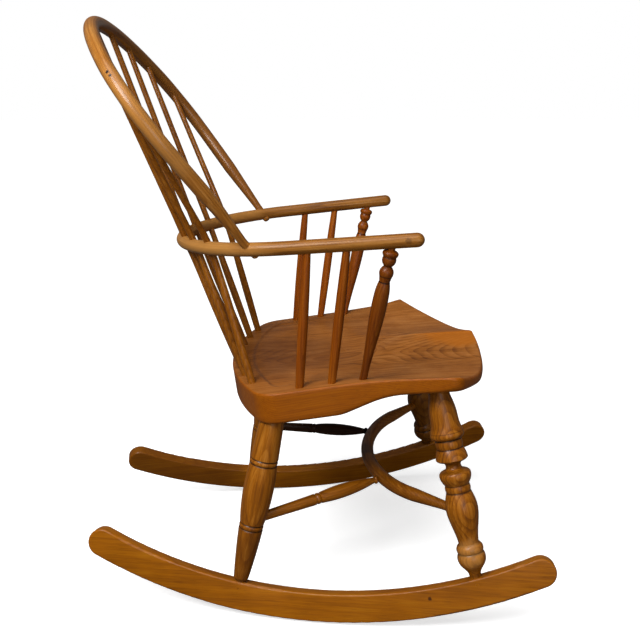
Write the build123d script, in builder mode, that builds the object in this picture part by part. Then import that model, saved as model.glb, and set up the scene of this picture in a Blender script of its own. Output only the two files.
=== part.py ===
"""Hoop back rocking chair: a double-bow Windsor armchair on two rockers.

Millimetres, +Z up.  X is the width, +X the sitter's left, and the sitter faces -Y.  The origin is
on the floor under the middle of the rockers.  Every piece is turned, bent or sawn wood, and every
joint is a round tenon in a bored mortise.
"""
import os
from math import acos, asin, atan2, cos, degrees, hypot, radians, sin, sqrt, tan

from build123d import *

os.makedirs("parts", exist_ok=True)

SIDES = {"left": 1, "right": -1}

# ---------------------------------------------------------------- fits
glue_gap = 0.12             # radial gap round a tenon in its mortise
end_gap = 0.3               # gap between a tenon's end and the bottom of its mortise

# ---------------------------------------------------------------- rockers
rocker_radius = 897.0       # of the running edge
rocker_depth = 48.8
rocker_thickness = 25.0
rocker_spread = 256.4       # from the middle plane to a rocker's centre plane, at its running edge
rocker_toe = 9.0            # degrees, the fronts stand wider than the backs
rocker_cant = 13.0          # degrees, the rockers lean in at the top like the legs on them
rocker_balance = 6.8        # along the rocker, to the lowest point of the running edge
rocker_front_reach = {"left": 403.0, "right": 398.0}  # from beside the origin to a front tip
rocker_rear_reach = 406.0
rocker_edge_round = 3.5

# ---------------------------------------------------------------- seat
seat_height = 413.2         # of the top face over the origin
seat_tilt = 7.4             # degrees, down to the back
seat_twist = 1.0            # degrees, the hand-fitted seat sits askew, its left side further back
seat_pivot_x = -250.0       # where the askew seat still lies square to the chair
seat_thickness = 53.0
seat_back_y = 147.0
seat_back_radius = 500.0
seat_side_x = 234.0         # half the width beside the sticks
seat_waist_y = -30.0        # where the sides start to flare to the front
seat_corner_x = {"left": 264.0, "right": 272.0}  # from the middle to a front corner
seat_front_y = -309.0
seat_front_x = -19.0        # the front edge reaches furthest a little right of the middle
seat_front_radius = 444.0
seat_back_corner_round = 46.0
seat_front_corner_round = 20.0
seat_top_round = 3.0
seat_bottom_round = 6.0
seat_dish_width = 380.0
seat_dish_length = 294.0
seat_dish_depth = 14.0
seat_dish_y = -52.0
seat_thigh_x = 130.0
seat_thigh_radius = 370.0
seat_thigh_depth = 36.5     # at the front edge, under the top face
seat_thigh_fall = 6.3       # degrees, down to the front
seat_front_edge = 25.0      # thickness left at the side edges in front of the waist
seat_relief_reach = 112.0   # how far the shaving under an edge runs inwards
seat_relief_start = 4.0     # past the waist, where the shaving begins
seat_relief_ramp = 80.0     # length over which it reaches its full height
seat_relief_round = 90.0
spindle_rim = 15.0          # from the seat's back edge to the line of spindles
stick_rim = 18.0            # from the seat's side edge to the sticks and posts

# ---------------------------------------------------------------- arm bow
arm_diameter = 23.0
arm_height = 643.4          # of the bow's plane over the origin
arm_fall = 4.9              # degrees, down to the back
arm_back_radius = 217.5
arm_back_centre_y = 15.5
arm_flare = 8.5             # degrees, the hands stand wider
arm_front_y = -157.3        # the centre of a hand's round end

# ---------------------------------------------------------------- back hoop
hoop_diameter = 24.0
hoop_foot_diameter = 14.0
hoop_lean = 36.8            # degrees back from upright
hoop_rise = 427.3           # from the level of hoop_base_z to the apex, along the lean
hoop_base_y = 104.0
hoop_base_z = 643.6
hoop_top_radius = 308.0
hoop_top_angle = 45.0       # degrees of the top arc on each side of the apex
hoop_shoulder_radius = 156.0
hoop_waist_radius = 180.0
hoop_taper_start = 118.0    # along the straight foot, up from the arm bow's centre
hoop_taper_end = 20.0
hoop_foot_round = 3.0
hoop_foot_edge = 0.9        # the foot's end starts to round off this far in from the side
hoop_foot_stand = 4.5       # the tenon shows this much under the arm bow
wedge_length = 13.0
wedge_width = 7.0
wedge_head = 2.4
wedge_tip = 0.6

# ---------------------------------------------------------------- back spindles
spindle_count = 8
spindle_seat_pitch = 46.0
spindle_arm_pitch = 47.5
spindle_hoop_angles = (11.04, 25.4, 39.2, 65.12)  # degrees round the hoop from its apex
spindle_seat_diameter = 12.5
spindle_belly_diameter = 14.2
spindle_belly_height = 95.0
spindle_arm_diameter = 11.0
spindle_arm_inset = 3.5     # the spindles cross the arm bow this far in front of its centre line
spindle_hoop_diameter = 10.2
spindle_bend_reach = 42.0   # half the length over which a spindle is sprung at the arm bow
spindle_seat_depth = 30.0
spindle_tenon_length = 34.0  # of the straight end in the hoop
spindle_hoop_pass = 3.0     # the tenon runs this far past the hoop's centre line

# ---------------------------------------------------------------- arm sticks and posts
stick_seat_y = (24.0, -29.0)
stick_arm_y = (11.0, -51.0)
stick_seat_diameter = 13.5
stick_belly_diameter = 16.5
stick_belly_height = 95.0
stick_arm_diameter = 12.5
stick_seat_depth = 28.0
arm_tenon_pass = 4.0        # arm tenons run this far past the bow's centre line
post_seat_y = -81.0
post_arm_y = -121.0
post_seat_diameter = 13.0
post_calf_diameter = 20.0
post_calf_height = 75.0
post_belly_diameter = 24.6
post_belly_drop = 95.1      # under the arm bow's centre line, like the turned details above it
post_shoulder_diameter = 21.6
post_shoulder_drop = 75.1
post_groove_diameter = 17.2
post_groove_drop = 65.1
post_ring_diameter = 20.2
post_ring_drop = 57.1       # the top of a ring that swells up from the groove
post_bead_diameter = 22.8
post_bead_drop = 50.1
post_neck_diameter = 12.4
post_neck_drop = 40.1
post_middle_bead_diameter = 22.4
post_middle_bead_drop = 30.1
post_quirk_diameter = 20.6
post_quirk_drop = 25.1
post_cap_diameter = 25.0
post_cap_drop = 17.9
post_tenon_diameter = 12.0
post_cap_gap = 2.6          # from the cap to the arm bow's underside

# ---------------------------------------------------------------- front legs
front_foot_along = -269.8   # along the rocker
front_leg_top_x = 207.0
front_leg_top_y = -205.1
foot_sink = 10.0            # a leg's axis meets the rocker's middle plane this far under its edge
foot_tenon_diameter = 14.0
foot_tenon_depth = 24.0
foot_socket_depth = 4.0     # the neck above the tenon is let in this far
foot_neck_height = 4.0      # the neck runs straight this far above the rocker's edge
front_foot_diameter = 19.5
foot_ankle_diameter = 30.0
foot_ankle_height = 16.0
foot_swell_diameter = 42.0
foot_swell_height = 24.0
foot_ball_diameter = 47.4
foot_ball_height = 33.0
foot_groove_diameter = 42.2
foot_groove_height = 44.0
foot_ring_diameter = 45.0
foot_ring_height = 51.0
vase_foot_diameter = 33.6
vase_foot_height = 60.0
vase_stem_diameter = 43.6
vase_stem_height = 88.0
vase_diameter = 53.4
vase_height = 122.0
vase_shoulder_diameter = 46.6
vase_shoulder_height = 140.0
vase_groove_diameter = 41.0
vase_groove_height = 148.0
vase_ring_diameter = 42.8
vase_ring_height = 155.0
cup_foot_diameter = 40.6
cup_foot_height = 160.0
cup_bowl_diameter = 49.6
cup_bowl_height = 168.0
cup_rim_diameter = 53.2
cup_rim_height = 176.0
cup_lip_diameter = 51.8
cup_lip_height = 180.0
leg_neck_diameter = 25.4
leg_neck_height = 192.0
leg_neck_flare = 2.0        # wider at both ends of the neck than in its middle
leg_neck_length = 8.0
leg_cove_diameter = 42.0    # half way from the neck to the cup's lip and to the bell's rim
leg_cove_length = 4.0
bell_rim_diameter = 53.8
bell_rim_height = 204.0
bell_shoulder_diameter = 51.2
bell_shoulder_height = 212.0
bell_top_diameter = 43.4
bell_top_height = 222.0
collar_diameter = 46.0
collar_height = 230.0
bulb_foot_height = 237.0
bulb_diameter = 56.4
bulb_height = 244.0
bulb_shoulder_diameter = 51.4
bulb_shoulder_height = 256.0
bulb_neck_diameter = 46.4
bulb_neck_height = 280.0
front_leg_top_diameter = 38.0
front_leg_tenon_diameter = 26.0
front_leg_tenon_depth = 17.0
front_leg_seat_depth = 41.0  # the seat's shaved underside at a front leg, under the top face

# ---------------------------------------------------------------- rear legs
rear_foot_along = 134.3     # along the rocker
rear_leg_top_x = 200.0
rear_leg_top_y = 69.7
rear_foot_diameter = 19.5
rear_ankle_diameter = 26.0
rear_ankle_height = 7.0
rear_low_bead_height = 104.5
rear_low_bead_diameter = 42.0
rear_calf_height = 188.0
rear_calf_diameter = 51.4
rear_high_bead_height = 221.5
rear_high_bead_diameter = 47.4
rear_leg_top_diameter = 42.5
rear_leg_tenon_diameter = 32.0
rear_leg_tenon_depth = 32.0
bead_width = 9.0
bead_groove = 1.6
leg_taper_start = 14.0      # a leg's tapered end starts this far under the seat

# ---------------------------------------------------------------- stretchers
bow_joint_height = 112.5    # up the front leg from its foot
bow_apex_y = -107.5
bow_apex_z = 192.3
bow_diameter = 24.0
bow_end_diameter = 16.0
bow_mid_radius = 300.0
bow_mid_angle = 25.0        # degrees of the middle arc on each side of the apex
bow_shoulder_radius = 190.0
bow_taper_length = 62.0
stub_joint_height = {"left": 108.0, "right": 113.5}  # up the rear leg from its foot
stub_bow_angle = 20.8       # degrees round the middle arc of the bow
stub_leg_diameter = 16.5
stub_groove_share = 0.46
stub_groove_diameter = 20.0
stub_belly_share = 0.70
stub_belly_diameter = 24.6
stub_collar_diameter = 15.2
stub_collar_length = 7.0
stub_tenon_diameter = 8.5
stub_tenon_pass = 4.0       # the tenon runs this far past the bow's centre line
stub_tenon_start = 5.0      # the other tenon stops this far short of the rear leg's axis
bow_tenon_start = 6.0       # a bow tenon stops this far short of the front leg's axis

# ---------------------------------------------------------------- pegs
peg_diameter = 6.0
peg_length = 19.0


# ================================================================ geometry helpers
def axial_plane(base, tip):
    """Plane with its origin at base and its y axis along the line to tip."""
    along = (tip - base).normalized()
    sideways = along.cross(Vector(0, 1, 0)).normalized()
    return Plane(origin=base, x_dir=sideways, z_dir=sideways.cross(along))


def turn(base, tip, *runs):
    """Turn a solid round the line from base to tip.

    Each run is a list of (diameter, height) stations: two are joined by a straight line, more by
    a smooth curve.  Neighbouring runs share a station.
    """
    plane = axial_plane(base, tip)
    bottom = runs[0][0][1]
    top = runs[-1][-1][1]
    with BuildSketch(plane) as profile:
        with BuildLine():
            Line((0, bottom), (runs[0][0][0] / 2, bottom))
            for run in runs:
                stations = [(diameter / 2, height) for diameter, height in run]
                if len(stations) == 2:
                    Line(*stations)
                else:
                    Spline(*stations)
            Line((runs[-1][-1][0] / 2, top), (0, top))
            Line((0, top), (0, bottom))
        make_face()
    revolve(profile.sketch, axis=Axis(base, tip - base))


def bore(base, tip, diameter, length, start=0.0):
    """Cut a round mortise along the line from base towards tip."""
    direction = (tip - base).normalized()
    with Locations(Plane(origin=base + direction * start, z_dir=direction)):
        Cylinder(diameter / 2 + glue_gap, length, align=(Align.CENTER, Align.CENTER, Align.MIN),
                 mode=Mode.SUBTRACT)


def ream(base, tip, diameter, far_diameter, length):
    """Cut a tapered mortise that starts at base."""
    with Locations(Plane(origin=base, z_dir=(tip - base).normalized())):
        Cone(diameter / 2 + glue_gap, far_diameter / 2 + glue_gap, length,
             align=(Align.CENTER, Align.CENTER, Align.MIN), mode=Mode.SUBTRACT)


def ring(plane, centre, radius, start, end, diameter, mode=Mode.ADD):
    """Add a round bar bent to an arc in a plane, from one angle to another."""
    middle = plane.from_local_coords(Vector(centre[0], centre[1], 0))
    spoke = plane.x_dir * cos(radians(start)) + plane.y_dir * sin(radians(start))
    tangent = plane.y_dir * cos(radians(start)) - plane.x_dir * sin(radians(start))
    with BuildSketch(Plane(origin=middle + spoke * radius, x_dir=spoke, z_dir=tangent)) as section:
        Circle(diameter / 2)
    revolve(section.sketch, axis=Axis(middle, plane.z_dir), revolution_arc=end - start, mode=mode)


def span(start, end, side):
    """The angles from start to end, or their mirror image on the other side."""
    return (start, end) if side > 0 else (180 - end, 180 - start)


def tangent_point(centre, radius, point):
    """Touching point, on the outer side, of the tangent from a point below a circle."""
    dx = point[0] - centre[0]
    dy = point[1] - centre[1]
    angle = atan2(dy, dx) + acos(radius / hypot(dx, dy))
    return centre[0] + radius * cos(angle), centre[1] + radius * sin(angle)


def flip(point, side):
    """The point on the chair's other side, when side is -1."""
    return Vector(point.X * side, point.Y, point.Z)


def save(builder, name):
    """Label the finished piece and write its STEP file."""
    builder.part.label = name
    export_step(builder.part, f"parts/{name}.step")


# ================================================================ the chair's planes and lines
seat_askew = Vector(cos(radians(seat_twist)), sin(radians(seat_twist)), 0)
seat_plane = Plane(origin=(0, -seat_pivot_x * sin(radians(seat_twist)), seat_height),
                   x_dir=seat_askew,
                   z_dir=(-seat_askew.Y * sin(radians(seat_tilt)),
                          seat_askew.X * sin(radians(seat_tilt)), cos(radians(seat_tilt))))
arm_plane = Plane(origin=(0, 0, arm_height), x_dir=(1, 0, 0),
                  z_dir=(0, sin(radians(arm_fall)), cos(radians(arm_fall))))
hoop_plane = Plane(origin=(0, hoop_base_y, hoop_base_z), x_dir=(1, 0, 0),
                   z_dir=(0, -cos(radians(hoop_lean)), sin(radians(hoop_lean))))


def seat_point(x, y, depth=0.0):
    """A point of the seat's top face, or depth under it."""
    return seat_plane.from_local_coords(Vector(x, y, -depth))


def under_seat(x, y, depth):
    """Point in the right half straight under (x, y), depth under the plane of the top face."""
    normal = seat_plane.z_dir
    fall = normal.dot(Vector(-x, y, 0) - Vector(0, seat_plane.origin.Y, 0)) + depth
    return Vector(-x, y, seat_height - fall / normal.Z)


def arm_point(x, y):
    """A point in the plane of the arm bow's centre line."""
    return arm_plane.from_local_coords(Vector(x, y, 0))


def hoop_point(x, w):
    """A point in the plane of the hoop, w up the lean."""
    return hoop_plane.from_local_coords(Vector(x, w, 0))


def rocker_plane(side):
    """Plane of a rocker's middle: x runs to the back along the rocker, y up its canted side."""
    toe = radians(rocker_toe)
    cant = radians(rocker_cant)
    along = Vector(-side * sin(toe), cos(toe), 0)
    upwards = Vector(-side * sin(cant) * cos(toe), -sin(cant) * sin(toe), cos(cant))
    return Plane(origin=(side * rocker_spread, 0, rocker_lift), x_dir=along,
                 z_dir=along.cross(upwards))


def rocker_point(along, depth):
    """Point in the left rocker's middle plane, depth under its upper edge."""
    level_radius = rocker_radius - rocker_depth + depth
    height = rocker_radius - sqrt(level_radius ** 2 - (along - rocker_balance) ** 2)
    return rocker_plane(1).from_local_coords(Vector(along, height, 0))


# the canted running edge touches the floor with its rounded inner corner
rocker_lift = ((rocker_thickness / 2 - rocker_edge_round) * sin(radians(rocker_cant))
               + rocker_edge_round * (1 - cos(radians(rocker_cant))))

# arm bow: the line of one hand runs straight to the back arc
flare = radians(arm_flare)
arm_bend_x = arm_back_radius * cos(flare)
arm_bend_y = arm_back_centre_y + arm_back_radius * sin(flare)
arm_front_x = arm_bend_x + (arm_bend_y - arm_front_y) * tan(flare)


def arm_line_x(y):
    """Half the distance between the hands' centre lines at y along the arm bow's plane."""
    if y > arm_bend_y:
        return sqrt(arm_back_radius ** 2 - (y - arm_back_centre_y) ** 2)
    return arm_bend_x + (arm_bend_y - y) * tan(flare)


# hoop foot: where the hoop's plane meets the arm bow's centre line
arm_slope = tan(radians(arm_fall))
hoop_slope = tan(radians(hoop_lean))
crossing_z = ((arm_height - arm_slope * (hoop_base_y - hoop_slope * hoop_base_z))
              / (1 + arm_slope * hoop_slope))
crossing_y = hoop_base_y + hoop_slope * (crossing_z - hoop_base_z)
hoop_foot_w = (crossing_z - hoop_base_z) / cos(radians(hoop_lean))
hoop_foot_x = arm_line_x(crossing_y / cos(radians(arm_fall)))

# hoop arcs, from the apex down one side
top_angle = radians(hoop_top_angle)
hoop_top_centre = (0.0, hoop_rise - hoop_top_radius)
hoop_shoulder_centre = ((hoop_top_radius - hoop_shoulder_radius) * sin(top_angle),
                        hoop_top_centre[1] + (hoop_top_radius - hoop_shoulder_radius) * cos(top_angle))
hoop_side_x = hoop_shoulder_centre[0] + hoop_shoulder_radius
hoop_waist_centre = (hoop_side_x - hoop_waist_radius, hoop_shoulder_centre[1])
hoop_knee = tangent_point(hoop_waist_centre, hoop_waist_radius, (hoop_foot_x, hoop_foot_w))
hoop_knee_angle = atan2(hoop_waist_centre[1] - hoop_knee[1], hoop_knee[0] - hoop_waist_centre[0])
hoop_foot_length = hypot(hoop_knee[0] - hoop_foot_x, hoop_knee[1] - hoop_foot_w)


def hoop_arc_point(angle):
    """The point of the hoop's centre line where it has turned by an angle from its apex."""
    on_top = angle < hoop_top_angle
    centre = hoop_top_centre if on_top else hoop_shoulder_centre
    radius = hoop_top_radius if on_top else hoop_shoulder_radius
    return hoop_point(centre[0] + radius * sin(radians(angle)),
                      centre[1] + radius * cos(radians(angle)))


# legs: a foot meets the rocker's middle plane, a head meets the seat's underside on the right
front_heel = rocker_point(front_foot_along, foot_sink)
front_head = flip(under_seat(front_leg_top_x, front_leg_top_y, front_leg_seat_depth), -1)
front_line = (front_head - front_heel).normalized()
front_foot = front_heel + front_line * foot_sink
front_leg_length = (front_head - front_foot).length
rear_heel = rocker_point(rear_foot_along, foot_sink)
rear_head = flip(under_seat(rear_leg_top_x, rear_leg_top_y, seat_thickness), -1)
rear_line = (rear_head - rear_heel).normalized()
rear_foot = rear_heel + rear_line * foot_sink
rear_leg_length = (rear_head - rear_foot).length

# bow stretcher: its plane holds its apex and both front leg joints
bow_joint = front_foot + front_line * bow_joint_height
bow_apex = Vector(0, bow_apex_y, bow_apex_z)
bow_fall = atan2(bow_joint.Z - bow_apex_z, bow_apex_y - bow_joint.Y)
bow_plane = Plane(origin=bow_apex, x_dir=(1, 0, 0), z_dir=(0, sin(bow_fall), cos(bow_fall)))
bow_end = (bow_joint.X, -hypot(bow_joint.Y - bow_apex_y, bow_joint.Z - bow_apex_z))
mid_angle = radians(bow_mid_angle)
bow_mid_centre = (0.0, -bow_mid_radius)
bow_shoulder_centre = ((bow_mid_radius - bow_shoulder_radius) * sin(mid_angle),
                       bow_mid_centre[1] + (bow_mid_radius - bow_shoulder_radius) * cos(mid_angle))
bow_knee = tangent_point(bow_shoulder_centre, bow_shoulder_radius, bow_end)
bow_knee_angle = atan2(bow_knee[1] - bow_shoulder_centre[1], bow_knee[0] - bow_shoulder_centre[0])
bow_straight = hypot(bow_end[0] - bow_knee[0], bow_end[1] - bow_knee[1])

# stub stretchers: rear leg to bow
stub_bases = {side: flip(rear_foot + rear_line * stub_joint_height[name], side)
              for name, side in SIDES.items()}
stub_tip = bow_plane.from_local_coords(Vector(bow_mid_radius * sin(radians(stub_bow_angle)),
                                              bow_mid_radius * (cos(radians(stub_bow_angle)) - 1), 0))


# ================================================================ back spindles
class SpindleLine:
    """Two straight lines joined by an arc that passes through the arm bow's centre line."""

    def __init__(self, seat, arm, hoop):
        below = (arm - seat).normalized()
        above = (hoop - arm).normalized()
        turn_angle = radians(below.get_angle(above))
        corner = arm + (below - above).normalized() * spindle_bend_reach * tan(turn_angle / 4)
        self.below = (corner - seat).normalized()
        self.above = (hoop - corner).normalized()
        self.seat = seat
        self.bend_start = corner - self.below * spindle_bend_reach
        self.bend_end = corner + self.above * spindle_bend_reach
        self.hoop = hoop + self.above * spindle_hoop_pass
        self.angle = self.below.get_angle(self.above)
        self.normal = self.below.cross(self.above).normalized()
        radius = spindle_bend_reach / tan(radians(self.angle) / 2)
        self.centre = self.bend_start + self.normal.cross(self.below) * radius

    def bend(self, diameter, mode=Mode.ADD):
        """The sprung length through the arm bow, as a piece of a ring."""
        with BuildSketch(Plane(origin=self.bend_start, z_dir=self.below)) as section:
            Circle(diameter / 2)
        revolve(section.sketch, axis=Axis(self.centre, self.normal), revolution_arc=self.angle,
                mode=mode)


def spindle_line(index, side):
    """Line of the spindle at index, counted outwards from the middle, on one side."""
    step = index + 0.5
    seat_radius = seat_back_radius - spindle_rim
    seat_x = step * spindle_seat_pitch
    seat_y = seat_back_y - seat_back_radius + sqrt(seat_radius ** 2 - seat_x ** 2)
    arm_angle = step * spindle_arm_pitch / arm_back_radius
    arm_radius = arm_back_radius - spindle_arm_inset
    arm = arm_point(arm_radius * sin(arm_angle), arm_back_centre_y + arm_radius * cos(arm_angle))
    return SpindleLine(seat_point(side * seat_x, seat_y), flip(arm, side),
                       flip(hoop_arc_point(spindle_hoop_angles[index]), side))


# numbered across the back, from the sitter's right to the left
spindle_lines = [spindle_line(index, -1) for index in reversed(range(spindle_count // 2))]
spindle_lines += [spindle_line(index, 1) for index in range(spindle_count // 2)]

for number, line in enumerate(spindle_lines, start=1):
    lower_length = (line.bend_start - line.seat).length
    upper_length = (line.hoop - line.bend_end).length
    with BuildPart() as spindle:
        turn(line.seat, line.bend_start,
             [(spindle_seat_diameter, -spindle_seat_depth), (spindle_seat_diameter, 0)],
             [(spindle_seat_diameter, 0), (spindle_belly_diameter, spindle_belly_height),
              (spindle_arm_diameter, lower_length)])
        line.bend(spindle_arm_diameter)
        turn(line.bend_end, line.hoop,
             [(spindle_arm_diameter, 0),
              (spindle_hoop_diameter, upper_length - spindle_tenon_length)],
             [(spindle_hoop_diameter, upper_length - spindle_tenon_length),
              (spindle_hoop_diameter, upper_length)])
    save(spindle, f"back_spindle_{number}")

# ================================================================ arm sticks and posts
def support_line(seat_y, arm_y, side):
    """Both ends of the axis of a stick or post, on the seat and in the arm bow."""
    return (seat_point(side * (seat_side_x - stick_rim), seat_y),
            arm_point(side * arm_line_x(arm_y), arm_y))


stick_lines = {side: [support_line(seat_y, arm_y, side)
                      for seat_y, arm_y in zip(stick_seat_y, stick_arm_y)] for side in SIDES.values()}
post_lines = {side: support_line(post_seat_y, post_arm_y, side) for side in SIDES.values()}

for side_name, side in SIDES.items():
    for place, (foot, head) in zip(("rear", "front"), stick_lines[side]):
        reach = (head - foot).length
        with BuildPart() as stick:
            turn(foot, head,
                 [(stick_seat_diameter, -stick_seat_depth), (stick_seat_diameter, 0)],
                 [(stick_seat_diameter, 0), (stick_belly_diameter, stick_belly_height),
                  (stick_arm_diameter, reach - arm_diameter / 2)],
                 [(stick_arm_diameter, reach - arm_diameter / 2),
                  (stick_arm_diameter, reach + arm_tenon_pass)])
        save(stick, f"arm_stick_{place}_{side_name}")

    foot, head = post_lines[side]
    reach = (head - foot).length
    post_shoulder = reach - arm_diameter / 2 - post_cap_gap
    with BuildPart() as post:
        turn(foot, head,
             [(post_seat_diameter, -stick_seat_depth), (post_seat_diameter, 0)],
             [(post_seat_diameter, 0), (post_calf_diameter, post_calf_height),
              (post_belly_diameter, reach - post_belly_drop),
              (post_shoulder_diameter, reach - post_shoulder_drop),
              (post_groove_diameter, reach - post_groove_drop)],
             [(post_groove_diameter, reach - post_groove_drop),
              (post_ring_diameter, reach - post_ring_drop)],
             [(post_ring_diameter, reach - post_ring_drop), (post_bead_diameter, reach - post_bead_drop),
              (post_neck_diameter, reach - post_neck_drop)],
             [(post_neck_diameter, reach - post_neck_drop),
              (post_middle_bead_diameter, reach - post_middle_bead_drop),
              (post_quirk_diameter, reach - post_quirk_drop)],
             [(post_quirk_diameter, reach - post_quirk_drop), (post_cap_diameter, reach - post_cap_drop),
              (post_tenon_diameter, post_shoulder)],
             [(post_tenon_diameter, post_shoulder), (post_tenon_diameter, reach + arm_tenon_pass)])
    save(post, f"arm_post_{side_name}")

# ================================================================ legs
def foot_runs(foot_diameter):
    """The tenon in the rocker and the neck above it, up to the rocker's edge."""
    return [[(foot_tenon_diameter, -foot_tenon_depth), (foot_tenon_diameter, -foot_socket_depth)],
            [(foot_tenon_diameter, -foot_socket_depth), (foot_diameter, -foot_socket_depth)],
            [(foot_diameter, -foot_socket_depth), (foot_diameter, foot_neck_height)]]


def bore_peg(heel, side):
    """Cut the hole of a peg that is driven in from the rocker's outer face."""
    outwards = rocker_plane(side).z_dir * side
    bore(flip(heel, side) + outwards * (rocker_thickness / 2), flip(heel, side), peg_diameter,
         peg_length + end_gap)


def bead_runs(height, diameter):
    """A round bead between two quirks, and the station above and below it."""
    low = height - bead_width / 2
    high = height + bead_width / 2
    quirk = diameter - 2 * bead_groove
    runs = [[(diameter, low - bead_groove), (quirk, low)],
            [(quirk, low), (diameter, height), (quirk, high)],
            [(quirk, high), (diameter, high + bead_groove)]]
    return runs, (diameter, low - bead_groove), (diameter, high + bead_groove)


for side_name, side in SIDES.items():
    foot = flip(front_foot, side)
    head = flip(front_head, side)
    mouth = front_leg_length - leg_taper_start
    neck_foot = leg_neck_height - leg_neck_length / 2
    neck_head = leg_neck_height + leg_neck_length / 2
    with BuildPart() as front_leg:
        turn(foot, head,
             *foot_runs(front_foot_diameter),
             [(front_foot_diameter, foot_neck_height), (foot_ankle_diameter, foot_ankle_height),
              (foot_swell_diameter, foot_swell_height), (foot_ball_diameter, foot_ball_height),
              (foot_groove_diameter, foot_groove_height)],
             [(foot_groove_diameter, foot_groove_height), (foot_ring_diameter, foot_ring_height),
              (vase_foot_diameter, vase_foot_height)],
             [(vase_foot_diameter, vase_foot_height), (vase_stem_diameter, vase_stem_height),
              (vase_diameter, vase_height), (vase_shoulder_diameter, vase_shoulder_height),
              (vase_groove_diameter, vase_groove_height)],
             [(vase_groove_diameter, vase_groove_height), (vase_ring_diameter, vase_ring_height),
              (cup_foot_diameter, cup_foot_height)],
             [(cup_foot_diameter, cup_foot_height), (cup_bowl_diameter, cup_bowl_height),
              (cup_rim_diameter, cup_rim_height), (cup_lip_diameter, cup_lip_height)],
             [(cup_lip_diameter, cup_lip_height), (leg_cove_diameter, cup_lip_height + leg_cove_length),
              (leg_neck_diameter + leg_neck_flare, neck_foot), (leg_neck_diameter, leg_neck_height),
              (leg_neck_diameter + leg_neck_flare, neck_head),
              (leg_cove_diameter, bell_rim_height - leg_cove_length),
              (bell_rim_diameter, bell_rim_height)],
             [(bell_rim_diameter, bell_rim_height), (bell_shoulder_diameter, bell_shoulder_height),
              (bell_top_diameter, bell_top_height)],
             [(bell_top_diameter, bell_top_height), (collar_diameter, collar_height),
              (bell_top_diameter, bulb_foot_height)],
             [(bell_top_diameter, bulb_foot_height), (bulb_diameter, bulb_height),
              (bulb_shoulder_diameter, bulb_shoulder_height), (bulb_neck_diameter, bulb_neck_height),
              (front_leg_top_diameter, mouth)],
             [(front_leg_top_diameter, mouth),
              (front_leg_tenon_diameter, front_leg_length + front_leg_tenon_depth)])
        bore(flip(bow_joint, side), bow_plane.from_local_coords(Vector(side * bow_knee[0],
                                                                      bow_knee[1], 0)),
             bow_end_diameter, foot_ball_diameter, bow_tenon_start - end_gap)
        bore_peg(front_heel, side)
    save(front_leg, f"front_leg_{side_name}")

    foot = flip(rear_foot, side)
    head = flip(rear_head, side)
    mouth = rear_leg_length - leg_taper_start
    low_bead, low_start, low_end = bead_runs(rear_low_bead_height, rear_low_bead_diameter)
    high_bead, high_start, high_end = bead_runs(rear_high_bead_height, rear_high_bead_diameter)
    with BuildPart() as rear_leg:
        turn(foot, head,
             *foot_runs(rear_foot_diameter),
             [(rear_foot_diameter, foot_neck_height), (rear_ankle_diameter, rear_ankle_height)],
             [(rear_ankle_diameter, rear_ankle_height),
              ((rear_ankle_diameter + low_start[0]) / 2 + bead_groove,
               (rear_ankle_height + low_start[1]) / 2), low_start],
             *low_bead,
             [low_end, (rear_calf_diameter, rear_calf_height), high_start],
             *high_bead,
             [high_end, (rear_leg_top_diameter, mouth)],
             [(rear_leg_top_diameter, mouth),
              (rear_leg_tenon_diameter, rear_leg_length + rear_leg_tenon_depth)])
        bore(stub_bases[side], flip(stub_tip, side), stub_leg_diameter,
             rear_calf_diameter, stub_tenon_start - end_gap)
        bore_peg(rear_heel, side)
    save(rear_leg, f"rear_leg_{side_name}")

# ================================================================ stretchers
with BuildPart() as crinoline_stretcher:
    ring(bow_plane, bow_mid_centre, bow_mid_radius, 90 - bow_mid_angle, 90 + bow_mid_angle,
         bow_diameter)
    for side in SIDES.values():
        ring(bow_plane, (side * bow_shoulder_centre[0], bow_shoulder_centre[1]), bow_shoulder_radius,
             *span(degrees(bow_knee_angle), 90 - bow_mid_angle, side), bow_diameter)
        knee = bow_plane.from_local_coords(Vector(side * bow_knee[0], bow_knee[1], 0))
        turn(knee, flip(bow_joint, side),
             [(bow_diameter, 0), (bow_end_diameter, bow_taper_length)],
             [(bow_end_diameter, bow_taper_length), (bow_end_diameter, bow_straight - bow_tenon_start)])
        bore(flip(stub_tip, side), stub_bases[side], stub_tenon_diameter, bow_diameter,
             -stub_tenon_pass - end_gap)
save(crinoline_stretcher, "crinoline_stretcher")

for side_name, side in SIDES.items():
    base = stub_bases[side]
    tip = flip(stub_tip, side)
    stub_length = (tip - base).length
    shoulder = stub_length - bow_diameter / 2 - 2 * glue_gap
    groove_height = stub_length * stub_groove_share
    groove_head = groove_height + bead_width + bead_groove
    belly_height = stub_length * stub_belly_share
    collar_foot = shoulder - stub_collar_length
    quirk = stub_groove_diameter - 2 * bead_groove
    with BuildPart() as stub_stretcher:
        turn(base, tip,
             [(stub_leg_diameter, stub_tenon_start), (stub_leg_diameter, rear_calf_diameter / 2)],
             [(stub_leg_diameter, rear_calf_diameter / 2), (stub_groove_diameter, groove_height)],
             [(stub_groove_diameter, groove_height), (quirk, groove_height + bead_groove)],
             [(quirk, groove_height + bead_groove),
              (stub_groove_diameter, groove_height + bead_groove + bead_width / 2),
              (quirk, groove_head)],
             [(quirk, groove_head), (stub_groove_diameter, groove_head + bead_groove)],
             [(stub_groove_diameter, groove_head + bead_groove), (stub_belly_diameter, belly_height),
              (stub_tenon_diameter + bead_groove, collar_foot)],
             [(stub_tenon_diameter + bead_groove, collar_foot),
              (stub_collar_diameter, (collar_foot + shoulder) / 2), (stub_tenon_diameter, shoulder)],
             [(stub_tenon_diameter, shoulder), (stub_tenon_diameter, stub_length + stub_tenon_pass)])
    save(stub_stretcher, f"stub_stretcher_{side_name}")

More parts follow.
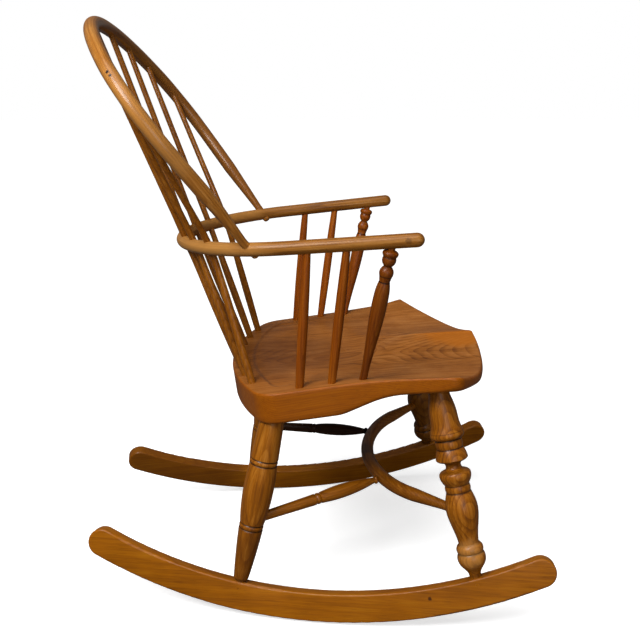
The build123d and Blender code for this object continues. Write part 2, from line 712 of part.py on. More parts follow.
# ================================================================ rockers and their pegs
for side_name, side in SIDES.items():
    plane = rocker_plane(side)
    middle_radius = rocker_radius - rocker_depth / 2
    tip_radius = rocker_depth / 2
    front_angle = asin((rocker_front_reach[side_name] + rocker_balance - tip_radius) / middle_radius)
    rear_angle = asin((rocker_rear_reach - rocker_balance - tip_radius) / middle_radius)
    with BuildPart() as rocker:
        with BuildSketch(plane):
            with BuildLine() as middle_line:
                CenterArc((rocker_balance, rocker_radius), middle_radius, 270 - degrees(front_angle),
                          degrees(front_angle + rear_angle))
            SlotArc(middle_line.edge(), rocker_depth)
        extrude(amount=rocker_thickness / 2, both=True)
        sides = rocker.faces().filter_by(Axis(plane.origin, plane.z_dir))
        fillet(sides.edges(), rocker_edge_round)
        for heel, leg_foot, head, neck in ((front_heel, front_foot, front_head, front_foot_diameter),
                                           (rear_heel, rear_foot, rear_head, rear_foot_diameter)):
            foot = flip(leg_foot, side)
            bore(foot, flip(head, side), foot_tenon_diameter, 2 * foot_tenon_depth,
                 -foot_tenon_depth - end_gap)
            bore(foot, flip(head, side), neck, 2 * foot_tenon_depth, -foot_socket_depth - glue_gap)
            bore_peg(heel, side)
    save(rocker, f"rocker_{side_name}")

peg_start = rocker_thickness / 2 - peg_length
with BuildPart() as rocker_pegs:
    for side in SIDES.values():
        plane = rocker_plane(side)
        for heel in (front_heel, rear_heel):
            outwards = plane.z_dir * side
            with Locations(Plane(origin=flip(heel, side) + outwards * peg_start, z_dir=outwards)):
                Cylinder(peg_diameter / 2, peg_length, align=(Align.CENTER, Align.CENTER, Align.MIN))
save(rocker_pegs, "rocker_pegs")

# ================================================================ arm bow
with BuildPart() as arm_bow:
    ring(arm_plane, (0.0, arm_back_centre_y), arm_back_radius, arm_flare, 180 - arm_flare,
         arm_diameter)
    for side in SIDES.values():
        bend = arm_point(side * arm_bend_x, arm_bend_y)
        hand = arm_point(side * arm_front_x, arm_front_y)
        turn(bend, hand,
             [(arm_diameter, 0), (arm_diameter, (hand - bend).length)])
        with Locations(hand):
            Sphere(arm_diameter / 2)
    for line in spindle_lines:
        line.bend(spindle_arm_diameter + 2 * glue_gap, mode=Mode.SUBTRACT)
    for side in SIDES.values():
        for foot, head in stick_lines[side]:
            bore(head, foot, stick_arm_diameter, arm_diameter, -arm_tenon_pass - end_gap)
        foot, head = post_lines[side]
        bore(head, foot, post_tenon_diameter, arm_diameter, -arm_tenon_pass - end_gap)
        foot = hoop_point(side * hoop_foot_x, hoop_foot_w)
        knee = hoop_point(side * hoop_knee[0], hoop_knee[1])
        bore(foot, knee, hoop_foot_diameter, 4 * arm_diameter, -2 * arm_diameter)
save(arm_bow, "arm_bow")

# ================================================================ back hoop and its wedges
hoop_stand = arm_diameter / 2 + hoop_foot_stand


def wedge(side, gap=0.0, mode=Mode.ADD):
    """A wedge driven up into the end of one foot of the hoop, gap wider all round."""
    foot = hoop_point(side * hoop_foot_x, hoop_foot_w)
    knee = hoop_point(side * hoop_knee[0], hoop_knee[1])
    with BuildSketch(axial_plane(foot, knee)) as section:
        Polygon((wedge_head / 2 + gap, -hoop_stand - gap),
                (wedge_tip / 2 + gap, wedge_length - hoop_stand + gap),
                (-wedge_tip / 2 - gap, wedge_length - hoop_stand + gap),
                (-wedge_head / 2 - gap, -hoop_stand - gap), align=None)
    extrude(section.sketch, amount=wedge_width / 2 + gap, both=True, mode=mode)


with BuildPart() as hoop_wedges:
    for side in SIDES.values():
        wedge(side)
save(hoop_wedges, "hoop_wedges")

with BuildPart() as back_hoop:
    ring(hoop_plane, hoop_top_centre, hoop_top_radius, 90 - hoop_top_angle, 90 + hoop_top_angle,
         hoop_diameter)
    for side in SIDES.values():
        ring(hoop_plane, (side * hoop_shoulder_centre[0], hoop_shoulder_centre[1]),
             hoop_shoulder_radius, *span(0, 90 - hoop_top_angle, side), hoop_diameter)
        ring(hoop_plane, (side * hoop_waist_centre[0], hoop_waist_centre[1]),
             hoop_waist_radius, *span(-degrees(hoop_knee_angle), 0, side), hoop_diameter)
        foot = hoop_point(side * hoop_foot_x, hoop_foot_w)
        knee = hoop_point(side * hoop_knee[0], hoop_knee[1])
        turn(foot, knee,
             [(hoop_foot_diameter - 2 * hoop_foot_round, -hoop_stand),
              (hoop_foot_diameter - 2 * hoop_foot_edge, -hoop_stand + hoop_foot_edge),
              (hoop_foot_diameter, -hoop_stand + hoop_foot_round)],
             [(hoop_foot_diameter, -hoop_stand + hoop_foot_round),
              (hoop_foot_diameter, hoop_taper_end)],
             [(hoop_foot_diameter, hoop_taper_end), (hoop_diameter, hoop_taper_start)],
             [(hoop_diameter, hoop_taper_start), (hoop_diameter, hoop_foot_length)])
        wedge(side, glue_gap, mode=Mode.SUBTRACT)
    for line in spindle_lines:
        bore(line.hoop, line.bend_end, spindle_hoop_diameter, 2 * hoop_diameter, -end_gap)
save(back_hoop, "back_hoop")

# ================================================================ seat
back_centre_y = seat_back_y - seat_back_radius
back_end_angle = degrees(acos(seat_side_x / seat_back_radius))
front_centre_y = seat_front_y + seat_front_radius
corner_angles = {side: degrees(acos((seat_corner_x[name] - side * seat_front_x) / seat_front_radius))
                 for name, side in SIDES.items()}
relief_fall = seat_thickness - seat_front_edge
relief_slope = relief_fall / seat_relief_reach
seat_thigh_length = seat_thigh_depth / tan(radians(seat_thigh_fall))
dish_sweep_radius = (seat_dish_length ** 2 / 4 + seat_dish_depth ** 2) / (2 * seat_dish_depth)

with BuildPart() as seat:
    with BuildSketch(seat_plane) as outline:
        with BuildLine():
            back = CenterArc((0, back_centre_y), seat_back_radius, back_end_angle,
                             180 - 2 * back_end_angle)
            front = CenterArc((seat_front_x, front_centre_y), seat_front_radius,
                              180 + corner_angles[-1], 180 - corner_angles[-1] - corner_angles[1])
            for side, back_end, front_end in ((1, back @ 0, front @ 1), (-1, back @ 1, front @ 0)):
                side_edge = Line(back_end, (side * seat_side_x, seat_waist_y))
                TangentArc(side_edge @ 1, front_end, tangent=side_edge % 1)
        make_face()
        fillet(outline.vertices().group_by(Axis.Y)[0], seat_front_corner_round)
        fillet(outline.vertices().group_by(Axis.Y)[-1], seat_back_corner_round)
    extrude(amount=-seat_thickness)
    faces = seat.faces().sort_by(Axis(seat_plane.origin, seat_plane.z_dir))
    fillet(faces[-1].edges(), seat_top_round)
    faces = seat.faces().sort_by(Axis(seat_plane.origin, seat_plane.z_dir))
    fillet(faces[0].edges(), seat_bottom_round)

    # the underside is shaved away towards the front
    for side, front_end in ((1, front @ 1), (-1, front @ 0)):
        waist = seat_point(side * seat_side_x, seat_waist_y)
        along = (seat_point(front_end.X, front_end.Y) - waist).normalized()
        inwards = along.cross(seat_plane.z_dir).normalized() * side
        slant = (inwards - seat_plane.z_dir * relief_slope).normalized()
        with BuildSketch(Plane(origin=waist - slant * seat_relief_reach, x_dir=along,
                               z_dir=along.cross(seat_plane.z_dir))) as shaving:
            level = 2 * seat_thickness
            with BuildLine():
                ramp = FilletPolyline(
                    (seat_relief_start - seat_relief_ramp, -seat_thickness - relief_fall),
                    (seat_relief_start + seat_relief_ramp, -seat_front_edge),
                    (seat_relief_start + 4 * seat_relief_ramp, -seat_front_edge),
                    radius=seat_relief_round)
                Polyline(ramp @ 1, (seat_relief_start + 4 * seat_relief_ramp, -level),
                         (seat_relief_start - seat_relief_ramp, -level), ramp @ 0)
            make_face()
        extrude(shaving.sketch, amount=3 * seat_relief_reach, dir=slant, mode=Mode.SUBTRACT)

    # the saddle: one dish and two thigh grooves
    dish_centre = seat_point(0, seat_dish_y)
    with BuildSketch(Plane(origin=dish_centre, x_dir=seat_plane.x_dir,
                           z_dir=-seat_plane.y_dir)) as hollow:
        with BuildLine():
            floor = ThreePointArc((-seat_dish_width / 2, 0), (0, -seat_dish_depth),
                                  (seat_dish_width / 2, 0))
            Polyline(floor @ 1, (seat_dish_width / 2, seat_dish_depth),
                     (-seat_dish_width / 2, seat_dish_depth), floor @ 0)
        make_face()
    pivot = seat_point(0, seat_dish_y, seat_dish_depth - dish_sweep_radius)
    revolve(hollow.sketch, axis=Axis(pivot, seat_plane.x_dir), mode=Mode.SUBTRACT)
    for side in SIDES.values():
        groove_front = seat_point(side * seat_thigh_x, seat_front_y,
                                  seat_thigh_depth - seat_thigh_radius)
        groove_dir = (seat_plane.y_dir + seat_plane.z_dir * tan(radians(seat_thigh_fall))).normalized()
        with Locations(Plane(origin=groove_front - groove_dir * seat_relief_reach, z_dir=groove_dir)):
            Cylinder(seat_thigh_radius, seat_thigh_length + seat_relief_reach,
                     align=(Align.CENTER, Align.CENTER, Align.MIN), mode=Mode.SUBTRACT)

    # mortises
    for line in spindle_lines:
        bore(line.seat, line.bend_start, spindle_seat_diameter, 2 * spindle_seat_depth,
             -spindle_seat_depth - end_gap)
    for side in SIDES.values():
        for foot, head in stick_lines[side]:
            bore(foot, head, stick_seat_diameter, 2 * stick_seat_depth, -stick_seat_depth - end_gap)
        foot, head = post_lines[side]
        bore(foot, head, post_seat_diameter, 2 * stick_seat_depth, -stick_seat_depth - end_gap)
        ream(flip(front_foot + front_line * (front_leg_length - leg_taper_start), side),
             flip(front_head, side), front_leg_top_diameter, front_leg_tenon_diameter,
             leg_taper_start + front_leg_tenon_depth + end_gap)
        ream(flip(rear_foot + rear_line * (rear_leg_length - leg_taper_start), side),
             flip(rear_head, side), rear_leg_top_diameter, rear_leg_tenon_diameter,
             leg_taper_start + rear_leg_tenon_depth + end_gap)
save(seat, "seat")
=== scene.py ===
"""Hoop back rocking chair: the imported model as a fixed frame, dressed in varnished wood.

The frame is in metres.  Shapes are worked out in millimetres and scaled by MM where they meet it.
Left and right are the sitter's: +X is left, and the chair faces -Y.
"""
from math import acos, atan2, cos, hypot, pi, radians, sin, sqrt, tan

import bpy
import numpy as np
from mathutils import Matrix, Vector
from mathutils.bvhtree import BVHTree


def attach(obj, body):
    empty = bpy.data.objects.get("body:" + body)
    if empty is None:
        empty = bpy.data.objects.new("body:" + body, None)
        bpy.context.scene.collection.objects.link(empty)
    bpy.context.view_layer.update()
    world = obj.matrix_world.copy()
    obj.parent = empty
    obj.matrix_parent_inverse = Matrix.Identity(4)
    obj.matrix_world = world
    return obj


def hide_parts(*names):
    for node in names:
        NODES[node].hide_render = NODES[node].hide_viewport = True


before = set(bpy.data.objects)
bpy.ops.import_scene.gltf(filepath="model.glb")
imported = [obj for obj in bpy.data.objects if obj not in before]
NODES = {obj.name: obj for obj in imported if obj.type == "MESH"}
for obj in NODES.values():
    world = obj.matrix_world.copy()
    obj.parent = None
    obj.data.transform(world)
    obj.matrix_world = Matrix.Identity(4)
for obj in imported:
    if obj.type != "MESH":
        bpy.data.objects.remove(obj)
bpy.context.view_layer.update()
MM = 0.001


# ------------------------------------------------------------------ node helpers
# a mix node's sockets for colours, which come after those for numbers and vectors
MIX_FROM, MIX_TO, MIXED = 6, 7, 2


class Tree:
    """A few short calls for building the node tree of a material or of the world."""

    def __init__(self, material):
        material.use_nodes = True
        self.tree = material.node_tree
        self.tree.nodes.clear()

    def node(self, kind, **settings):
        made = self.tree.nodes.new(kind)
        for name, value in settings.items():
            setattr(made, name, value)
        return made

    def link(self, source, socket):
        """Feed a socket from another socket or from a plain value."""
        if isinstance(source, bpy.types.NodeSocket):
            self.tree.links.new(source, socket)
        else:
            socket.default_value = source

    def math(self, operation, a, b=None, clamp=False):
        made = self.node("ShaderNodeMath", operation=operation, use_clamp=clamp)
        self.link(a, made.inputs[0])
        if b is not None:
            self.link(b, made.inputs[1])
        return made.outputs[0]

    def vector(self, operation, a, b=None):
        made = self.node("ShaderNodeVectorMath", operation=operation)
        self.link(a, made.inputs[0])
        if b is not None:
            self.link(b, made.inputs[1])
        return made.outputs["Value"] if operation == "LENGTH" else made.outputs[0]

    def split(self, vector):
        """The three parts of a vector."""
        made = self.node("ShaderNodeSeparateXYZ")
        self.link(vector, made.inputs[0])
        return made.outputs

    def attribute(self, name):
        return self.node("ShaderNodeAttribute", attribute_name=name).outputs["Vector"]

    def noise(self, vector, scale, detail=2.0, roughness=0.5, colour=False):
        made = self.node("ShaderNodeTexNoise")
        self.link(vector, made.inputs["Vector"])
        made.inputs["Scale"].default_value = scale
        made.inputs["Detail"].default_value = detail
        made.inputs["Roughness"].default_value = roughness
        return made.outputs[1 if colour else 0]

    def ramp(self, value, stops, blend="LINEAR"):
        made = self.node("ShaderNodeValToRGB")
        made.color_ramp.interpolation = blend
        elements = made.color_ramp.elements
        while len(elements) < len(stops):
            elements.new(0.5)
        for element, (position, colour) in zip(elements, stops):
            element.position = position
            if isinstance(colour, (int, float)):
                colour = (colour, colour, colour)
            element.color = (*colour, 1.0)
        self.link(value, made.inputs[0])
        return made.outputs[0]

    def mix(self, factor, a, b):
        made = self.node("ShaderNodeMix", data_type="RGBA", blend_type="MIX")
        self.link(factor, made.inputs[0])
        self.link(a if isinstance(a, bpy.types.NodeSocket) else (*a, 1.0), made.inputs[MIX_FROM])
        self.link(b if isinstance(b, bpy.types.NodeSocket) else (*b, 1.0), made.inputs[MIX_TO])
        return made.outputs[MIXED]

    def seen_or_lit(self, plain, seen, output):
        """One shader for what the camera sees straight on, and a plain one for all other rays."""
        rays = self.node("ShaderNodeLightPath")
        mixed = self.node("ShaderNodeMixShader")
        self.link(rays.outputs["Is Camera Ray"], mixed.inputs[0])
        self.link(plain, mixed.inputs[1])
        self.link(seen, mixed.inputs[2])
        self.link(mixed.outputs[0], self.node(output).inputs[0])


# ------------------------------------------------------------------ wood
FLAT = (1.0, 1.0, 0.0)          # keeps what lies across the grain, drops what runs along it
SEED_WAY = (0.37, 0.53, 0.71)   # where each piece's seed moves it in the noise
# noise scales, in waves per metre, and the factor on them along the grain
WANDER_SCALE, WANDER_STRETCH, WANDER_GAIN = 9.0, 0.16, 2.6
FIBRE_SCALE, FIBRE_STRETCH = 620.0, 0.022
STREAK_SCALE, STREAK_STRETCH = 130.0, 0.05
PORE_SCALE, PORE_STRETCH = 1150.0, 0.035
BROAD_SCALE, PATCH_SCALE, GLOSS_SCALE, DENT_SCALE = 55.0, 11.0, 45.0, 95.0
# how much each darkens the wood, and the average of the growth rings' profile
FIBRE_SHARE, STREAK_SHARE, BROAD_SHARE, RING_MEAN = 0.62, 0.62, 0.30, 0.3
RING_PROFILE = [(0.0, 0.05), (0.45, 0.16), (0.80, 0.75), (0.93, 1.0), (1.0, 0.05)]
PORE_PROFILE = [(0.0, 1.0), (0.34, 1.0), (0.42, 0.0), (1.0, 0.0)]
MARK_PROFILE = [(0.0, 0.0), (0.45, 1.0)]
LIGHT_AT, MIDDLE_AT, DARK_AT = 0.12, 0.5, 0.95
PORE_TINT, GROOVE_TINT, STEP_SHADOW_TINT = 0.35, 0.16, 0.5     # shares of the dark colour; the step's share paints a shadow line
PORE_MIX, GROOVE_MIX, STEP_SHADOW_MIX = 0.225, 1.25, 0.35
SIDE_CALM = 0.5                 # how much of the figure's contrast is left on a seat's sides
GROOVE_FLAT = 0.75              # a groove's middle is evenly dark from this share inwards
MARK_RAGGED, MARK_WAVES = 0.9, 1.6      # how ragged a mark is, and the waves in its radius
GLOSS_DROP, GLOSS_SWING = 0.10, 0.12
SPECULAR, COAT_GLOSS, COAT_IOR = 0.15, 0.22, 1.45
FIBRE_RELIEF, PORE_RELIEF, RING_RELIEF, DENT_RELIEF = 0.5, 0.3, 0.15, 1.2
RELIEF_HEIGHT, RELIEF_STRENGTH = 0.00035, 0.12


def dimmed(colour, share):
    return tuple(channel * share for channel in colour)


def wood_stops(dark, middle, light):
    return [(LIGHT_AT, light), (MIDDLE_AT, middle), (DARK_AT, dark)]


def wood(name, colours, seed, ring, trunk, axes=None, origin=(0, 0, 0), wobble=0.010, contrast=0.8,
         rings=0.22, gloss=0.38, coat=0.22, bands=(), marks=(), tone=1.0, patches=0.35, shaded_sides=None):
    """Varnished wood.  The grain runs along the third axis of the grain frame.

    colours: dark, middle and light; tone: a factor on all three;
    seed: which part of the noise the piece lies in;
    axes: the grain frame's three directions, or None for the mesh's own "grain" coordinates;
    ring: the width of a growth ring in millimetres; trunk: where the rings' axis lies, in metres;
    wobble: how far the rings wander, in metres; contrast: of the whole figure; rings and patches:
    how much growth rings and broad cloudy places show; gloss: the roughness under the coat;
    bands: (height, half width, strength) of dark turned grooves;
    marks: (centre, radius, colour, strength) of knots, painted shade and painted highlights;
    flank: dark, middle and light of a darker copy of the wood, painted shade on the sides and underside of a
    mesh with an "edge" attribute, whose first part is the share of that painted shade and whose second is
    the share of the painted shadow line along a step.
    """
    material = bpy.data.materials.new(name)
    t = Tree(material)
    place = t.node("ShaderNodeTexCoord").outputs["Object"]
    if axes is None:
        grain = t.attribute("grain")
    else:
        turn = Matrix(axes)
        mapping = t.node("ShaderNodeMapping")
        mapping.inputs["Rotation"].default_value = turn.to_euler("XYZ")
        mapping.inputs["Location"].default_value = -(turn @ Vector(origin))
        t.link(place, mapping.inputs["Vector"])
        grain = mapping.outputs[0]

    def drawn_out(vector, stretch):
        return t.vector("MULTIPLY", vector, (1.0, 1.0, stretch))

    # growth rings round a trunk axis beside the piece, wandering a little
    shifted = t.vector("ADD", grain, tuple(seed * way for way in SEED_WAY))
    wander = t.noise(drawn_out(shifted, WANDER_STRETCH), WANDER_SCALE, colour=True)
    wander = t.vector("SUBTRACT", wander, (0.5, 0.5, 0.5))
    wander = t.vector("MULTIPLY", wander, (wobble * WANDER_GAIN, wobble * WANDER_GAIN, 0.0))
    across = t.vector("ADD", t.vector("MULTIPLY", grain, FLAT), (*trunk, 0.0))
    across = t.vector("ADD", across, wander)
    turns = t.math("MULTIPLY", t.vector("LENGTH", across), 1.0 / (ring * MM))
    late = t.ramp(t.math("FRACT", turns), RING_PROFILE)
    # broad soft bands between groups of rings
    broad = t.noise(t.vector("MULTIPLY", across, FLAT), BROAD_SCALE, detail=1.0)

    # fibres and open pores, drawn out along the grain
    fibre = t.noise(drawn_out(shifted, FIBRE_STRETCH), FIBRE_SCALE, detail=3.0, roughness=0.6)
    streak = t.noise(drawn_out(shifted, STREAK_STRETCH), STREAK_SCALE, roughness=0.55)
    pore = t.ramp(t.noise(drawn_out(shifted, PORE_STRETCH), PORE_SCALE, detail=1.0), PORE_PROFILE)
    patch = t.math("SUBTRACT", t.noise(shifted, PATCH_SCALE), 0.5)

    # darkness of the wood, about 0.5 on average
    value = t.math("MULTIPLY", late, rings * contrast)
    for part, share in ((fibre, FIBRE_SHARE * contrast), (streak, STREAK_SHARE * contrast),
                        (broad, BROAD_SHARE * contrast), (patch, patches)):
        value = t.math("ADD", value, t.math("MULTIPLY", part, share))
    mean = (FIBRE_SHARE + STREAK_SHARE + BROAD_SHARE) / 2 + RING_MEAN * rings
    value = t.math("ADD", value, 0.5 - mean * contrast)
    toned = [tuple(min(1.0, channel) for channel in dimmed(colour, tone)) for colour in colours]
    dark = toned[0]
    colour = t.ramp(value, wood_stops(*toned))
    # painted shade: the seat's sides and underside take a darker copy of its wood
    if shaded_sides:
        edge = t.split(t.attribute("edge"))
        calm = t.math("ADD", t.math("MULTIPLY", value, SIDE_CALM), 0.5 * (1 - SIDE_CALM))
        colour = t.mix(edge[0], colour, t.ramp(calm, wood_stops(*shaded_sides)))
        # a painted shadow line along the seat's step
        colour = t.mix(t.math("MULTIPLY", edge[1], STEP_SHADOW_MIX), colour, dimmed(dark, STEP_SHADOW_TINT))
    colour = t.mix(t.math("MULTIPLY", pore, PORE_MIX), colour, dimmed(dark, PORE_TINT))

    if bands:
        height = t.split(grain)[2]
        groove = 0.0
        for level, half, strength in bands:
            away = t.math("ABSOLUTE", t.math("SUBTRACT", height, level))
            near = t.math("SUBTRACT", 1.0, t.math("DIVIDE", away, half), clamp=True)
            near = t.math("MULTIPLY", t.math("SMOOTH_MIN", near, GROOVE_FLAT), strength)
            groove = t.math("MAXIMUM", groove, near)
        groove = t.math("MULTIPLY", groove, GROOVE_MIX, clamp=True)
        colour = t.mix(groove, colour, dimmed(dark, GROOVE_TINT))
    # marks: knots, painted shade and painted highlights
    for centre, size, tint, strength in marks:
        away = t.vector("LENGTH", t.vector("SUBTRACT", place, centre))
        ragged = t.math("SUBTRACT", t.noise(place, MARK_WAVES / size), 0.5)
        away = t.math("ADD", away, t.math("MULTIPLY", ragged, size * MARK_RAGGED))
        near = t.math("SUBTRACT", 1.0, t.math("DIVIDE", away, size), clamp=True)
        near = t.ramp(near, MARK_PROFILE, "EASE")
        colour = t.mix(t.math("MULTIPLY", near, strength), colour, tint)

    shader = t.node("ShaderNodeBsdfPrincipled")
    rough = t.math("ADD", gloss - GLOSS_DROP, t.math("MULTIPLY", streak, GLOSS_SWING))
    rough = t.math("ADD", rough, t.math("MULTIPLY", t.noise(place, GLOSS_SCALE), GLOSS_SWING))
    relief = t.math("MULTIPLY", fibre, FIBRE_RELIEF)
    relief = t.math("SUBTRACT", relief, t.math("MULTIPLY", pore, PORE_RELIEF))
    relief = t.math("SUBTRACT", relief, t.math("MULTIPLY", late, RING_RELIEF))
    relief = t.math("ADD", relief, t.math("MULTIPLY", t.noise(place, DENT_SCALE), DENT_RELIEF))
    lift = t.node("ShaderNodeBump")
    lift.inputs["Strength"].default_value = RELIEF_STRENGTH
    lift.inputs["Distance"].default_value = RELIEF_HEIGHT
    t.link(relief, lift.inputs["Height"])
    for socket, source in (("Base Color", colour), ("Roughness", rough), ("Normal", lift.outputs[0]),
                           ("Specular IOR Level", SPECULAR), ("Coat Weight", coat),
                           ("Coat Roughness", COAT_GLOSS), ("Coat IOR", COAT_IOR)):
        t.link(source, shader.inputs[socket])
    t.link(shader.outputs[0], t.node("ShaderNodeOutputMaterial").inputs[0])
    return material


def dress(obj, material):
    """Give every face of a piece one material."""
    obj.data.materials.clear()
    obj.data.materials.append(material)


# ------------------------------------------------------------------ meshes
SOFT_ANGLE, WELD_REACH = radians(32), 1e-6
STEEP, MOSTLY_LENGTHWISE = 0.4, 0.8     # shares of a unit direction


def corner_points(obj):
    """A mesh's vertices as rows of x, y and z."""
    points = np.empty(len(obj.data.vertices) * 3)
    obj.data.vertices.foreach_get("co", points)
    return points.reshape(-1, 3)


def soften(obj):
    """Shade a CAD node smoothly, keeping the edges sharper than SOFT_ANGLE."""
    for polygon in obj.data.polygons:
        polygon.use_smooth = True
    weld = obj.modifiers.new("weld", "WELD")
    weld.merge_threshold = WELD_REACH
    split = obj.modifiers.new("edges", "EDGE_SPLIT")
    split.split_angle = SOFT_ANGLE


def long_frame(obj):
    """The grain frame of a long piece: rows of axes, and the low or rear end of its middle line.

    The grain runs upwards, or to the front in a piece that lies flat.
    """
    points = corner_points(obj)
    middle = (points.min(0) + points.max(0)) / 2
    spread = np.linalg.eigh(np.cov((points - middle).T))[1]
    along = Vector(spread[:, 2])
    if abs(along.z) > STEEP and along.z < 0 or abs(along.z) <= STEEP and along.y > 0:
        along.negate()
    helper = Vector((0, 1, 0) if abs(along.y) < MOSTLY_LENGTHWISE else (1, 0, 0))
    side = along.cross(helper).normalized()
    reach = (points - points.mean(0)) @ np.array(along)
    foot = Vector(points.mean(0)) + along * float(reach.min())
    return (side, along.cross(side), along), foot


def add_attribute(mesh, name, rows):
    made = mesh.attributes.new(name, "FLOAT_VECTOR", "POINT")
    made.data.foreach_set("vector", np.asarray(rows, np.float32).ravel())


def new_mesh(name, points, faces, grain):
    """A smooth mesh in metres, with grain coordinates for each of its points."""
    mesh = bpy.data.meshes.new(name)
    mesh.from_pydata([tuple(p) for p in points], [], faces)
    mesh.validate()
    add_attribute(mesh, "grain", grain)
    for polygon in mesh.polygons:
        polygon.use_smooth = True
    obj = bpy.data.objects.new(name, mesh)
    bpy.context.scene.collection.objects.link(obj)
    return obj


def lengths(line):
    """The distance travelled along a line at each of its points."""
    steps = np.linalg.norm(np.diff(np.asarray(line), axis=0), axis=1)
    return np.concatenate([[0.0], np.cumsum(steps)])


def unit_rows(rows):
    return rows / np.linalg.norm(rows, axis=1)[:, None]


# ------------------------------------------------------------------ bent rods
ROD_SIDES = 40
HAND_WORK = 0.035                       # how much thinner a rod is at its thinnest places
WAVES, SLOWEST_WAVE, WAVE_STEP = 6, 14, 13      # the waves of that unevenness, in radians per metre
WINDINGS = 3                            # each wave winds round a rod fewer times than this


def rod(name, line, radii, up, seed):
    """A bent rod along a line, with a radius for each point, in millimetres."""
    line = np.asarray(line, float) * MM
    radii = np.asarray(radii, float) * MM
    tangent = unit_rows(np.gradient(line, axis=0))
    side = unit_rows(np.cross(tangent, np.asarray(up, float)))
    top = np.cross(side, tangent)
    travel = lengths(line)
    angles = np.linspace(0, 2 * pi, ROD_SIDES, endpoint=False)
    phases = np.random.default_rng(seed).uniform(0, 2 * pi, (WAVES, 2))
    points = []
    grain = []
    for i, centre in enumerate(line):
        for angle in angles:
            uneven = sum(sin(travel[i] * (SLOWEST_WAVE + WAVE_STEP * k) + phases[k][0]
                             + (k % WINDINGS) * angle + phases[k][1]) for k in range(WAVES)) / WAVES
            r = radii[i] * (1 - HAND_WORK * (0.5 + 0.5 * uneven))
            points.append(centre + side[i] * cos(angle) * r + top[i] * sin(angle) * r)
            grain.append((cos(angle) * r, sin(angle) * r, travel[i]))
    faces = []
    for i in range(len(line) - 1):
        low, high = i * ROD_SIDES, (i + 1) * ROD_SIDES
        for j in range(ROD_SIDES):
            k = (j + 1) % ROD_SIDES
            faces.append((low + j, low + k, high + k, high + j))
    faces.append(tuple(range(ROD_SIDES - 1, -1, -1)))
    faces.append(tuple(range(len(points) - ROD_SIDES, len(points))))
    obj = new_mesh(name, points, faces, grain)
    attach(obj, "root")
    return obj


def in_plane(height, origin_y, y_dir, line):
    """A flat line of (x, y) laid in a plane that holds the X axis, as rows of x, y and z."""
    origin = np.array((0.0, origin_y, height))
    return np.array([origin + np.array((x, 0.0, 0.0)) + np.array(y_dir) * y for x, y in line])


def arc(centre, radius, start, end, step=4.0):
    count = max(3, int(abs(end - start) * radius / step))
    return [(centre[0] + radius * cos(a), centre[1] + radius * sin(a))
            for a in np.linspace(start, end, count)]


def straight(a, b, step=4.0):
    count = max(2, int(hypot(b[0] - a[0], b[1] - a[1]) / step))
    return [(a[0] + (b[0] - a[0]) * s, a[1] + (b[1] - a[1]) * s) for s in np.linspace(0, 1, count)]


def join(*runs):
    """One line from runs that each start where the last one ends."""
    made = list(runs[0])
    for run in runs[1:]:
        made += run[1:]
    return made


def tangent_point(centre, radius, point):
    """Where a line from a point touches a circle, and the angle of that place."""
    dx = point[0] - centre[0]
    dy = point[1] - centre[1]
    angle = atan2(dy, dx) + acos(radius / hypot(dx, dy))
    return (centre[0] + radius * cos(angle), centre[1] + radius * sin(angle)), angle


def mirrored(half):
    """A whole line, from right to left, from its left half, which runs from the middle outwards."""
    return [(-x, y) for x, y in reversed(half)] + list(half[1:])


# arm bow: a half circle at the back, then two straight arms that flare outwards and fall backwards
ARM_RADIUS = 11.5
ARM_BACK_RADIUS, ARM_CENTRE_Y, ARM_FRONT_Y, ARM_HEIGHT = 217.5, 15.5, -157.3, 643.4
ARM_FLARE, ARM_FALL = radians(8.5), radians(4.9)
HAND_STEPS, SMALLEST_RADIUS = 9, 0.2
ARM_SEED = 3

bend = (ARM_BACK_RADIUS * cos(ARM_FLARE), ARM_CENTRE_Y + ARM_BACK_RADIUS * sin(ARM_FLARE))
hand = (bend[0] + (bend[1] - ARM_FRONT_Y) * tan(ARM_FLARE), ARM_FRONT_Y)
arm_way = (sin(ARM_FLARE), -cos(ARM_FLARE))
arm_half = join(arc((0, ARM_CENTRE_Y), ARM_BACK_RADIUS, pi / 2, ARM_FLARE), straight(bend, hand))
# the hand ends in half a ball
ball = np.linspace(0, pi / 2, HAND_STEPS)[1:]
arm_radii = [ARM_RADIUS] * len(arm_half) + [max(ARM_RADIUS * cos(a), SMALLEST_RADIUS) for a in ball]
arm_half += [(hand[0] + arm_way[0] * ARM_RADIUS * sin(a), hand[1] + arm_way[1] * ARM_RADIUS * sin(a))
             for a in ball]
arm_line = in_plane(ARM_HEIGHT, 0.0, (0, cos(ARM_FALL), -sin(ARM_FALL)), mirrored(arm_half))
arm_bow = rod("arm_bow_bent", arm_line, arm_radii[::-1] + arm_radii[1:],
              (0, sin(ARM_FALL), cos(ARM_FALL)), ARM_SEED)
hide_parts("arm_bow")

# back hoop: a wide arc over two tighter shoulders, then a waist and straight feet to the arm bow
HOOP_RADIUS, HOOP_FOOT_RADIUS, HOOP_LEAN = 12.0, 7.0, radians(36.8)
HOOP_Y, HOOP_HEIGHT, HOOP_RISE = 104.0, 643.6, 427.3
HOOP_TOP_RADIUS, HOOP_TOP_ANGLE, SHOULDER_RADIUS, WAIST_RADIUS = 308.0, radians(45), 156.0, 180.0
HOOP_STAND = 16.0                       # how far a foot runs on past the arm bow's middle plane
# radii at distances along the hoop above that plane
FOOT_AT = [-HOOP_STAND, -15.2, -13.0, 20.0, 118.0]
FOOT_RADII = [4.0, 5.8, HOOP_FOOT_RADIUS, HOOP_FOOT_RADIUS, HOOP_RADIUS]
# how far the right foot stands further back than the left one, at such distances
BOWED_AT, BOWED_BACK = [-HOOP_STAND, 0.0, 14.0, 90.0], [1.4, 3.4, 4.6, 0.0]
FOOT_STEP = 2.0
HOOP_SEED = 5

